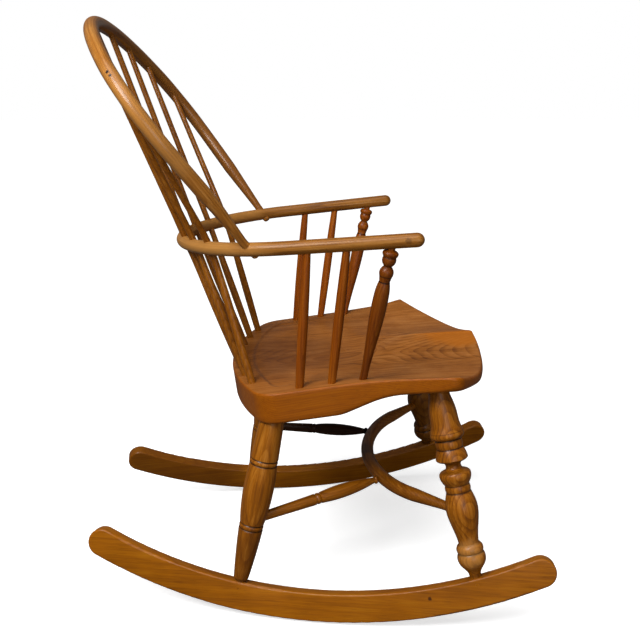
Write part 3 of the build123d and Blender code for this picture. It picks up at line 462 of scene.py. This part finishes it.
# where the hoop's plane crosses the arm bow's line, and how far out that lies
fall_slope = tan(ARM_FALL)
lean_slope = tan(HOOP_LEAN)
cross_z = (ARM_HEIGHT - fall_slope * (HOOP_Y - lean_slope * HOOP_HEIGHT)) / (1 + fall_slope * lean_slope)
cross_y = HOOP_Y + lean_slope * (cross_z - HOOP_HEIGHT)
foot_rise = (cross_z - HOOP_HEIGHT) / cos(HOOP_LEAN)
bow_y = cross_y / cos(ARM_FALL)
foot_x = (sqrt(ARM_BACK_RADIUS ** 2 - (bow_y - ARM_CENTRE_Y) ** 2) if bow_y > bend[1]
          else bend[0] + (bend[1] - bow_y) * tan(ARM_FLARE))
top_centre = (0.0, HOOP_RISE - HOOP_TOP_RADIUS)
centre_step = HOOP_TOP_RADIUS - SHOULDER_RADIUS
shoulder_centre = (centre_step * sin(HOOP_TOP_ANGLE), top_centre[1] + centre_step * cos(HOOP_TOP_ANGLE))
waist_centre = (shoulder_centre[0] + SHOULDER_RADIUS - WAIST_RADIUS, shoulder_centre[1])
knee, knee_angle = tangent_point(waist_centre, WAIST_RADIUS, (foot_x, foot_rise))
down = hypot(foot_x - knee[0], foot_rise - knee[1])
down_way = ((foot_x - knee[0]) / down, (foot_rise - knee[1]) / down)
foot_end = (foot_x + down_way[0] * HOOP_STAND, foot_rise + down_way[1] * HOOP_STAND)
hoop_half = join(arc(top_centre, HOOP_TOP_RADIUS, pi / 2, pi / 2 - HOOP_TOP_ANGLE),
                 arc(shoulder_centre, SHOULDER_RADIUS, pi / 2 - HOOP_TOP_ANGLE, 0),
                 arc(waist_centre, WAIST_RADIUS, 0, knee_angle), straight(knee, foot_end, FOOT_STEP))
travelled = lengths(hoop_half)
above_arm = travelled[-1] - HOOP_STAND - travelled
hoop_radii = list(np.interp(above_arm, FOOT_AT, FOOT_RADII))
hoop_line = in_plane(HOOP_HEIGHT, HOOP_Y, (0, sin(HOOP_LEAN), cos(HOOP_LEAN)), mirrored(hoop_half))
hoop_line[:len(hoop_half), 1] += np.interp(above_arm[::-1], BOWED_AT, BOWED_BACK)
back_hoop = rod("back_hoop_bent", hoop_line, hoop_radii[::-1] + hoop_radii[1:],
                (0, -cos(HOOP_LEAN), sin(HOOP_LEAN)), HOOP_SEED)
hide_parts("back_hoop")

# ------------------------------------------------------------------ seat
# Seat coordinates: x to the left, y to the back, depth down from the plane of the plank's top.
SEAT_HEIGHT, SEAT_THICKNESS = 413.2, 53.0
SEAT_PIVOT_X = -250.0                   # the seat is turned about this place on its right
SEAT_TILT, SEAT_TWIST = radians(7.4), radians(1.0)
DISH_WIDTH, DISH_LENGTH, DISH_DEPTH, DISH_Y = 380.0, 294.0, 14.0, -52.0
NO_DISH = -60.0                         # a depth well above the plank, where the dish has ended
THIGH_X, THIGH_RADIUS, THIGH_DEPTH, THIGH_FALL = 130.0, 370.0, 36.5, tan(radians(6.3))
FRONT_Y, FRONT_RADIUS, FRONT_CENTRE_X = -309.0, 444.0, -19.0
LEFT_CORNER_X, RIGHT_CORNER_X = 264.0, -272.0
THIGH_SHALLOWER, THIGH_FADE = 3.0, (-200.0, -300.0)     # the left thigh, fading in along y
RIDGE_ROUND, RIDGE_REACH = 2.2, 14.0    # the pommel's ridge is rounded over
SAG, SAG_X, SAG_Y = 3.0, (140.0, 215.0), (-205.0, -160.0)   # the left rim lies lower
DISH_BLEND, RIM_BLEND = 5.0, 2.5
# the shaving of the underside: its start at the waist, its depth, how far in it reaches, its ramp
RELIEF_X, RELIEF_Y, RELIEF_DEPTH, RELIEF_REACH = 234.0, -30.0, 28.0, 112.0
RELIEF_RUN, RELIEF_START, RELIEF_BLEND, RELIEF_SOFT = 80.0, 4.0, 10.0, 3.0
# the flat rim that carries the spindles, the small step down from it and the painted shadow line along that
PLATFORM, STEP_DOWN, STEP_BEFORE, STEP_AFTER, STEP_SHADOW_REACH = 40.0, 2.4, 3.0, 4.0, 2.6
REAR_Y = (-150.0, -112.0)               # the step fades in between these places
# radii of the edges, and what is added to them in front, beside the pommel on the top face
TOP_ROUND, TOP_ROUND_FRONT, POMMEL_X = 3.0, 3.0, (45.0, 80.0)
LOW_ROUND, LOW_ROUND_FRONT, FRONT_Y_FADE = 6.0, 9.0, (-195.0, -240.0)
ROUND_SHARE = 0.42                      # no edge's radius is more than this share of the thickness
SIDE_FROM, SIDE_TO = 4.0, 1.0           # the painted side shade fades in at these distances from the rim
HUB = np.array((0.0, -60.0))            # the middle from which the outline and the rings are drawn
AROUND, INNER_RINGS, OUTER_RINGS, SIDE_RINGS = 540, 84, 26, 8
FIRST_RING, LAST_INNER, MARGIN, CROWDING = 0.03, 0.90, 0.1, 1.25
# rays from outside towards the hub, whose reach is in metres, and the gain that counts as wider
PROBE_DEPTHS, PROBE_START, PROBE_REACH = (18.0, 12.0, 24.0, 38.0, 44.0, 48.0), 500, 0.5
PROBE_GAIN, LEAST_SLANT = 0.3, 0.35

seat_x = Vector((cos(SEAT_TWIST), sin(SEAT_TWIST), 0))
seat_up = Vector((-sin(SEAT_TWIST) * sin(SEAT_TILT), cos(SEAT_TWIST) * sin(SEAT_TILT), cos(SEAT_TILT)))
seat_y = seat_up.cross(seat_x)
seat_origin = Vector((0, -SEAT_PIVOT_X * sin(SEAT_TWIST), SEAT_HEIGHT))


def seat_space(x, y, depth):
    """A place in seat coordinates, in metres in the frame."""
    return (seat_origin + seat_x * x + seat_y * y - seat_up * depth) * MM


def smooth_max(a, b, reach):
    h = np.clip(0.5 + 0.5 * (a - b) / reach, 0, 1)
    return b * (1 - h) + a * h + reach * h * (1 - h)


def soft_step(low, high, value):
    """A soft step from 0 at low to 1 at high."""
    share = np.clip((value - low) / (high - low), 0.0, 1.0)
    return share * share * (3 - 2 * share)


def cap_radius(width, depth):
    """The radius of the circle whose cap has this width and depth."""
    return (width ** 2 / 4 + depth ** 2) / (2 * depth)


def seat_top(x, y):
    """Depth of the saddled top face: the dish and two thigh hollows, blended, and the lower left rim."""
    wide = cap_radius(DISH_WIDTH, DISH_DEPTH)
    long = cap_radius(DISH_LENGTH, DISH_DEPTH)
    level = np.sqrt(np.maximum(wide ** 2 - x ** 2, 0)) - (wide - DISH_DEPTH)
    inner = (long - DISH_DEPTH + level) ** 2 - (y - DISH_Y) ** 2
    dish = np.sqrt(np.maximum(inner, 0)) - (long - DISH_DEPTH)
    dish = np.where(level > NO_DISH, dish, NO_DISH)
    thighs = []
    for side, shallower in ((1, THIGH_SHALLOWER * soft_step(*THIGH_FADE, y)), (-1, 0.0)):
        off = np.clip(x * side - THIGH_X, -THIGH_RADIUS, THIGH_RADIUS)
        deepest = THIGH_DEPTH - (y - FRONT_Y) * THIGH_FALL - shallower
        thighs.append(deepest - (THIGH_RADIUS - np.sqrt(THIGH_RADIUS ** 2 - off ** 2)))
    both = np.maximum(*thighs) + RIDGE_ROUND * np.exp(-(x / RIDGE_REACH) ** 2)
    sag = SAG * soft_step(*SAG_X, x) * soft_step(*SAG_Y, y)
    return smooth_max(smooth_max(dish, both, DISH_BLEND), 0.0, RIM_BLEND) + sag


def front_corner(x):
    """The place at x on the seat's curved front edge."""
    return (x, FRONT_Y + FRONT_RADIUS - sqrt(FRONT_RADIUS ** 2 - (x - FRONT_CENTRE_X) ** 2))


def seat_low(x, y):
    """Depth of the underside, shaved away at both sides from the waist to the front corners."""
    depth = np.full_like(x, SEAT_THICKNESS)
    for side, (corner_x, corner_y) in ((1, front_corner(LEFT_CORNER_X)), (-1, front_corner(RIGHT_CORNER_X))):
        forward = np.array([corner_x - side * RELIEF_X, corner_y - RELIEF_Y])
        forward /= np.linalg.norm(forward)
        inward = np.array([forward[1], -forward[0]])
        if inward[0] * side > 0:
            inward = -inward
        along = (x - side * RELIEF_X) * forward[0] + (y - RELIEF_Y) * forward[1]
        inside = (x - side * RELIEF_X) * inward[0] + (y - RELIEF_Y) * inward[1]
        ramp = SEAT_THICKNESS + RELIEF_DEPTH / RELIEF_RUN * (RELIEF_START - along)
        ramp = smooth_max(ramp, np.full_like(along, SEAT_THICKNESS - RELIEF_DEPTH), RELIEF_BLEND)
        cut = ramp + inside * RELIEF_DEPTH / RELIEF_REACH
        depth = -smooth_max(-depth, -cut, RELIEF_SOFT)
    return depth


def seat_outline():
    """The CAD seat's outline: its widest reach in each direction, felt at several depths."""
    obj = NODES["seat"]
    tree = BVHTree.FromPolygons([tuple(p) for p in corner_points(obj)],
                                [tuple(p.vertices) for p in obj.data.polygons])
    found = []
    for angle in np.linspace(0, 2 * pi, AROUND, endpoint=False):
        way = np.array((cos(angle), sin(angle)))
        widest = None
        for depth in PROBE_DEPTHS:
            start = seat_space(*(HUB + way * PROBE_START), depth)
            inward = (seat_space(*HUB, depth) - start).normalized()
            hit = tree.ray_cast(start, inward, PROBE_REACH)[0]
            if hit is not None:
                off = hit / MM - seat_origin
                place = (off.dot(seat_x), off.dot(seat_y))
                reach = hypot(*(place - HUB))
                if widest is None or reach > widest[0] + PROBE_GAIN:
                    widest = (reach, place)
        found.append(widest[1])
    return np.array(found)


def rounded(depth, opposite, down, radius, away):
    """A face's depths, rounded over at the rim; down is 1 for the top face and -1 for the underside."""
    r = np.minimum(radius, (opposite - depth) * down * ROUND_SHARE)
    e = np.clip(r - away, 0, r)
    return depth + down * (r - np.sqrt(np.maximum(r ** 2 - e ** 2, 0)))


outline = seat_outline()
chord = np.roll(outline, -1, axis=0) - np.roll(outline, 1, axis=0)
normal = unit_rows(np.stack([chord[:, 1], -chord[:, 0]], 1))
radial = outline - HUB
span = np.linalg.norm(radial, axis=1)
slant = np.clip((radial / span[:, None] * normal).sum(1), LEAST_SLANT, 1.0)
frontness = soft_step(*FRONT_Y_FADE, outline[:, 1])
rim_top = TOP_ROUND + TOP_ROUND_FRONT * frontness * soft_step(*POMMEL_X, np.abs(outline[:, 0]))
rim_low = LOW_ROUND + LOW_ROUND_FRONT * frontness

# rings from the hub to the outline, crowded towards the rim
margins = np.linspace(MARGIN, 0.0, OUTER_RINGS)[1:]
outer = 1 - margins ** CROWDING / MARGIN ** (CROWDING - 1)
shares = np.concatenate([np.linspace(FIRST_RING, LAST_INNER, INNER_RINGS), outer])
top_rings = []
low_rings = []
edges = []
for share in shares:
    ring = HUB + radial * share
    x, y = ring[:, 0], ring[:, 1]
    away = (1 - share) * span * slant
    rear = soft_step(*REAR_Y, y)
    high, low = seat_top(x, y), seat_low(x, y)
    stepped = high + STEP_DOWN * soft_step(PLATFORM - STEP_BEFORE, PLATFORM + STEP_AFTER, away) * rear
    # a painted shadow line along the step
    step_shadow = np.exp(-((away - PLATFORM) / STEP_SHADOW_REACH) ** 2) * rear
    # the shares of the painted side shade and of the painted shadow line along the step
    edges.append((soft_step(SIDE_FROM, SIDE_TO, away), step_shadow))
    top_rings.append((ring, rounded(stepped, low, 1, rim_top, away)))
    low_rings.append((ring, rounded(low, high, -1, rim_low, away)))
low_rings.reverse()
side_rings = [(outline, top_rings[-1][1] * (1 - s) + low_rings[0][1] * s)
              for s in np.linspace(0, 1, SIDE_RINGS)[1:-1]]
rings = top_rings + side_rings + low_rings
# the side and underside rings take the painted side shade in full
edges += [(np.ones(AROUND), np.zeros(AROUND))] * (len(rings) - len(edges))

places = [(x, y, d) for ring, depth in rings for (x, y), d in zip(ring, depth)]
side_and_step_shade_rows = [(side, line, 0.0) for pair in edges for side, line in zip(*pair)]
faces = []
for i in range(len(rings) - 1):
    for j in range(AROUND):
        k = (j + 1) % AROUND
        faces.append((i * AROUND + j, (i + 1) * AROUND + j, (i + 1) * AROUND + k, i * AROUND + k))
# each face is closed round the hub
for face, first, underside in ((seat_top, 0, False), (seat_low, len(rings) - 1, True)):
    hub = len(places)
    places.append((*HUB, float(face(HUB[:1], HUB[1:])[0])))
    side_and_step_shade_rows.append((float(underside), 0.0, 0.0))
    for j in range(AROUND):
        a, b = first * AROUND + j, first * AROUND + (j + 1) % AROUND
        faces.append((hub, b, a) if underside else (hub, a, b))
seat = new_mesh("seat_saddle", [seat_space(*place) for place in places], faces,
                [(x * MM, -d * MM, y * MM) for x, y, d in places])
add_attribute(seat.data, "edge", side_and_step_shade_rows)
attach(seat, "root")
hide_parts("seat")

# ------------------------------------------------------------------ finishes
# dark, middle and light of each wood, and of darker copies that paint shade
AMBER = ((0.075, 0.015, 0.0003), (0.290, 0.088, 0.0006), (0.430, 0.165, 0.006))
BENT = ((0.080, 0.020, 0.0010), (0.320, 0.115, 0.012), (0.520, 0.235, 0.050))
TURNED = ((0.060, 0.013, 0.0003), (0.250, 0.075, 0.0015), (0.430, 0.165, 0.018))
# a darker, redder copy of the turned wood: painted shade on the arm posts, arm sticks and hoop wedges
SHADY = ((0.040, 0.006, 0.0002), (0.155, 0.034, 0.0006), (0.270, 0.085, 0.0040))
ELM = ((0.070, 0.015, 0.0012), (0.265, 0.086, 0.0120), (0.400, 0.160, 0.040))
# a darker copy of the seat's elm for its sides and underside: painted shade
SIDE_SHADE = ((0.090, 0.016, 0.0001), (0.245, 0.062, 0.0002), (0.350, 0.108, 0.0020))
# a near-black copy for the left stub: painted shade
LEFT_STUB_SHADE = ((0.010, 0.002, 0.0005), (0.085, 0.024, 0.0028), (0.170, 0.058, 0.0110))
# colours of marks: a knot, painted shade and a painted highlight
KNOT, SHADE, PAINTED_HIGHLIGHT = (0.022, 0.006, 0.001), (0.060, 0.016, 0.001), (0.480, 0.230, 0.060)
# painted shade for the hoop's left side
HOOP_SHADE = (0.150, 0.050, 0.008)
# painted light on the pommel, and painted shade in the dish and on the left rim
POMMEL_PAINTED_LIGHT, DISH_SHADE, RIM_SHADE = (0.380, 0.105, 0.003), (0.085, 0.022, 0.004), (0.150, 0.050, 0.010)

LEG_TENON, POST_TENON = 24.0, 28.0      # what stands in the socket under a turned piece's foot


def grooves(tenon, *rows):
    """Dark turned lines in metres from rows of (height, half width, strength) in millimetres."""
    return [((tenon + height) * MM, half * MM, strength) for height, half, strength in rows]


LEG_BANDS = grooves(LEG_TENON, (44.0, 2.2, 0.95), (59.0, 2.0, 0.55), (148.0, 2.2, 0.85),
                    (160.0, 1.8, 0.6), (183.5, 3.0, 0.35), (199.0, 3.2, 0.45), (222.0, 1.8, 0.95),
                    (237.0, 2.2, 0.95), (249.5, 0.9, 0.6), (4.0, 4.0, 0.4))
REAR_BANDS = grooves(LEG_TENON, (100.0, 2.1, 0.95), (109.0, 2.1, 0.95), (217.0, 2.1, 0.95),
                     (226.0, 2.1, 0.95), (4.0, 4.0, 0.4))
POST_BANDS = grooves(POST_TENON, (169.0, 1.9, 0.95), (178.5, 1.7, 0.7), (195.0, 3.0, 0.45),
                     (210.0, 1.5, 0.7))

# each kind of piece, found by how its name starts, and the painted light and shade that differ on the left
FINISHES = {
    "front_leg": dict(colours=TURNED, ring=4.2, trunk=(0.052, 0.012), bands=LEG_BANDS, contrast=1.0,
                      rings=0.26, tone=0.95),
    "rear_leg": dict(colours=TURNED, ring=4.6, trunk=(0.058, 0.010), bands=REAR_BANDS, contrast=0.95,
                     rings=0.24, tone=0.95),
    # the posts and sticks take the darker copy of the turned wood: painted shade
    "arm_post": dict(colours=SHADY, ring=3.6, trunk=(0.05, 0.01), bands=POST_BANDS, contrast=0.9,
                     coat=0.1, tone=0.85),
    "arm_stick": dict(colours=SHADY, ring=3.2, trunk=(0.09, 0.03), coat=0.08, tone=1.25),
    "back_spindle": dict(colours=TURNED, ring=3.2, trunk=(0.09, 0.03), tone=0.82),
    "rocker": dict(colours=AMBER, ring=7.5, trunk=(0.16, 0.06), contrast=0.75, rings=0.10, coat=0.12,
                   patches=0.3, tone=0.88),
    "crinoline": dict(colours=TURNED, ring=4.0, trunk=(0.08, 0.02), contrast=0.9, tone=0.95),
    "stub": dict(colours=TURNED, ring=3.4, trunk=(0.05, 0.02), coat=0.2, tone=0.9),
    "hoop_wedges": dict(colours=SHADY, ring=2.5, trunk=(0.02, 0.01)),
}
# lit and shaded copies on the left: the far front leg darker as painted shade, the far post and stick
# lighter as painted light
LEFT_LIGHT_AND_SHADE = {
    "front_leg": dict(tone=0.65),
    "arm_post": dict(tone=1.25),
    "arm_stick": dict(tone=1.6),
    # the left stub near black: painted shade
    "stub": dict(colours=LEFT_STUB_SHADE, coat=0.0, tone=0.25),
}
# (centre, radius, colour, strength) of each piece's marks, in metres in the frame: knots, painted shade and
# painted highlights
MARKS = {
    # painted shade low on the near rear leg
    "rear_leg_right": [((-0.237, 0.124, 0.085), 0.095, SHADE, 0.42)],
    # a knot, and a painted highlight at the rocker's front
    "rocker_right": [((-0.286, -0.191, 0.059), 0.004, KNOT, 0.85),
                     ((-0.310, -0.385, 0.142), 0.012, PAINTED_HIGHLIGHT, 0.7)],
    # painted shade from the seat on the left rocker
    "rocker_left": [((0.178, 0.289, 0.086), 0.190, SHADE, 0.55),
                    ((0.249, 0.000, 0.030), 0.120, SHADE, 0.25)],
    # a painted highlight on the near front leg
    "front_leg_right": [((-0.288, -0.255, 0.140), 0.030, PAINTED_HIGHLIGHT, 0.35)],
    # painted shade on the near crinoline, and a knot
    "crinoline_stretcher": [((-0.177, -0.159, 0.205), 0.110, SHADE, 0.35),
                            ((0.0, -0.106, 0.203), 0.035, KNOT, 0.5)],
    # painted highlights on the back of the arm bow, and a knot
    "arm_bow": [((-0.130, 0.200, 0.630), 0.170, PAINTED_HIGHLIGHT, 0.45),
                ((-0.255, -0.142, 0.657), 0.006, KNOT, 0.45),
                ((0.150, 0.180, 0.630), 0.130, PAINTED_HIGHLIGHT, 0.35)],
    # a painted highlight on the hoop's right, two knots, and painted shade on its left
    "back_hoop": [((-0.235, 0.250, 0.810), 0.120, PAINTED_HIGHLIGHT, 0.3),
                  ((-0.246, 0.297, 0.902), 0.0035, KNOT, 1.0),
                  ((-0.250, 0.292, 0.897), 0.003, KNOT, 1.0),
                  ((0.235, 0.210, 0.790), 0.230, HOOP_SHADE, 0.6)],
    # painted light on the pommel, painted shade in the dish and on the left rim
    "seat": [(seat_space(0, -268, 10), 0.070, POMMEL_PAINTED_LIGHT, 0.7),
             (seat_space(-20, 62, 12), 0.150, DISH_SHADE, 0.5),
             (seat_space(215, -60, 0), 0.100, RIM_SHADE, 0.35)],
}
REBUILT = ("arm_bow", "back_hoop", "seat")

for index, name in enumerate(sorted(NODES)):
    if name in REBUILT:
        continue
    soften(NODES[name])
    axes, foot = long_frame(NODES[name])
    kind = next(start for start in FINISHES if name.startswith(start))
    finish = dict(FINISHES[kind])
    # painted light and shade: the left pieces' lit and shaded copies of the same wood
    if name.endswith("left"):
        finish.update(LEFT_LIGHT_AND_SHADE.get(kind, {}))
    marks = MARKS.get(name, ())
    dress(NODES[name], wood(name, seed=index, axes=axes, origin=foot, marks=marks, **finish))

dress(arm_bow, wood("arm_bow_finish", BENT, seed=2.3, ring=4.0, trunk=(0.06, 0.03), contrast=1.05,
                    gloss=0.38, coat=0.15, tone=0.68, marks=MARKS["arm_bow"]))
dress(back_hoop, wood("back_hoop_finish", BENT, seed=7.1, ring=4.0, trunk=(0.07, 0.02), contrast=0.9,
                      gloss=0.33, coat=0.45, tone=0.82, marks=MARKS["back_hoop"]))
dress(seat, wood("seat_finish", ELM, seed=4.4, ring=2.7, trunk=(0.03, 0.26), wobble=0.014,
                 contrast=1.0, rings=0.27, gloss=0.44, coat=0.08, patches=0.45, shaded_sides=SIDE_SHADE,
                 marks=MARKS["seat"]))

# ------------------------------------------------------------------ stage
FLOOR_SIZE = 60                         # metres, so that its edge is far beyond the chair
FLOOR_COLOUR, FLOOR_GLOW = 0.80, 0.62   # as the camera sees it
FLOOR_BOUNCE = 0.10                     # how much of its light the floor gives back to the chair
SKY_LIGHT, BACKDROP = 0.13, 1.0


def grey(level):
    return (level, level, level, 1)


def diffuse(tree, level):
    made = tree.node("ShaderNodeBsdfDiffuse")
    made.inputs["Color"].default_value = grey(level)
    return made.outputs[0]


def glowing(tree, kind, strength):
    """A white emission or background shader."""
    made = tree.node(kind)
    made.inputs["Color"].default_value = grey(1)
    made.inputs["Strength"].default_value = strength
    return made.outputs[0]


bpy.ops.mesh.primitive_plane_add(size=FLOOR_SIZE, location=(0, 0, 0))
floor = bpy.context.object
floor.name = "floor"
floor_paint = bpy.data.materials.new("floor_paint")
paint = Tree(floor_paint)
pale = paint.node("ShaderNodeAddShader")
paint.link(diffuse(paint, FLOOR_COLOUR), pale.inputs[0])
paint.link(glowing(paint, "ShaderNodeEmission", FLOOR_GLOW), pale.inputs[1])
paint.seen_or_lit(diffuse(paint, FLOOR_BOUNCE), pale.outputs[0], "ShaderNodeOutputMaterial")
floor.data.materials.append(floor_paint)


def lamp(name, kind, place, aim, size, power):
    """A round soft lamp: an area light of a size in metres, or a sun of an angle in radians."""
    light = bpy.data.lights.new(name, kind)
    if kind == "AREA":
        light.shape = "DISK"
        light.size = size
    else:
        light.angle = size
    light.energy = power
    obj = bpy.data.objects.new(name, light)
    bpy.context.scene.collection.objects.link(obj)
    obj.location = place
    obj.rotation_euler = (Vector(aim) - Vector(place)).to_track_quat("-Z", "Y").to_euler()


lamp("key", "AREA", (-1.4, 1.0, 2.0), (0, 0.05, 0.5), 1.2, 56)
lamp("daylight", "SUN", (-0.7, 0.2, 2.8), (0, 0, 0), radians(50), 1.5)
lamp("front", "AREA", (-3.0, -0.6, 1.1), (0, 0, 0.35), 1.8, 23)

scene = bpy.context.scene
scene.world = bpy.data.worlds.new("studio")
sky = Tree(scene.world)
sky.seen_or_lit(glowing(sky, "ShaderNodeBackground", SKY_LIGHT),
                glowing(sky, "ShaderNodeBackground", BACKDROP), "ShaderNodeOutputWorld")
scene.view_settings.view_transform = "Standard"
scene.view_settings.look = "None"

# the camera that was fitted to the photograph: place in metres, and focal length in its pixels
CAMERA_PLACE, CAMERA_YAW, CAMERA_PITCH = (-1.479, 0.020, 0.868), radians(-1.32), radians(15.26)
FOCAL_PIXELS, PHOTO_PIXELS, SENSOR = 820.0, 640.0, 36.0

camera = bpy.data.objects.new("camera", bpy.data.cameras.new("camera"))
scene.collection.objects.link(camera)
forward = Vector((cos(CAMERA_PITCH) * cos(CAMERA_YAW), cos(CAMERA_PITCH) * sin(CAMERA_YAW),
                  -sin(CAMERA_PITCH)))
right = forward.cross(Vector((0, 0, 1))).normalized()
turned = Matrix((right, right.cross(forward), -forward)).transposed().to_4x4()
camera.matrix_world = Matrix.Translation(CAMERA_PLACE) @ turned
camera.data.sensor_width = SENSOR
camera.data.lens = FOCAL_PIXELS / PHOTO_PIXELS * SENSOR
scene.camera = camera
